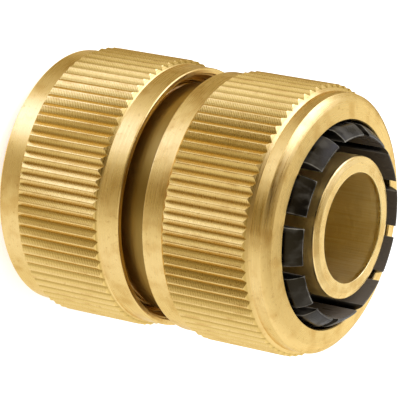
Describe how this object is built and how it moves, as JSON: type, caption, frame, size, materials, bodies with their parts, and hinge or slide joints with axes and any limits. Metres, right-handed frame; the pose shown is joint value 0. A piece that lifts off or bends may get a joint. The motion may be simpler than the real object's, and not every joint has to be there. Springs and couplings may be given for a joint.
{
  "type": "hose mender",
  "caption": "Turned brass hose joiner: a bored body with a barbed tail at each end, knurled clamp nuts and slotted black plastic collets.",
  "frame": {"origin": "on the body's axis, in the plane of the lower tail's flat end, on which the mender stands", "axes": "+Z along the body's axis from the lower tail to the upper tail; +X and +Y through slots of the collets"},
  "size_m": [0.0364, 0.0364, 0.0466],
  "materials": {
    "body_brass": "fine turned",
    "nut_brass": "satin turned, straight knurl",
    "black_nylon": "moulded satin black"
  },
  "bodies": {
    "body": {"centre_body": "body_brass"},
    "upper_gripper": {"upper_collet": "black_nylon"},
    "upper_clamp": {"upper_nut": "nut_brass"},
    "lower_gripper": {"lower_collet": "black_nylon"},
    "lower_clamp": {"lower_nut": "nut_brass"}
  },
  "joints": [
    {"name": "upper_nut_travel", "type": "slide", "parent": "body", "child": "upper_gripper", "axis": [0, 0, 1], "range_m": [0, 0.0045]},
    {"name": "upper_nut_turn", "type": "hinge", "parent": "upper_gripper", "child": "upper_clamp", "pos_m": [0, 0, 0.04662], "axis": [0, 0, 1], "range_deg": [0, 1080]},
    {"name": "lower_nut_travel", "type": "slide", "parent": "body", "child": "lower_gripper", "axis": [0, 0, -1], "range_m": [0, 0.0045]},
    {"name": "lower_nut_turn", "type": "hinge", "parent": "lower_gripper", "child": "lower_clamp", "pos_m": [0, 0, 0], "axis": [0, 0, -1], "range_deg": [0, 1080]}
  ],
  "couplings": [
    {"joint": "upper_nut_travel", "follows": "upper_nut_turn", "m_per_rad": 0.00023873},
    {"joint": "lower_nut_travel", "follows": "lower_nut_turn", "m_per_rad": 0.00023873}
  ]
}
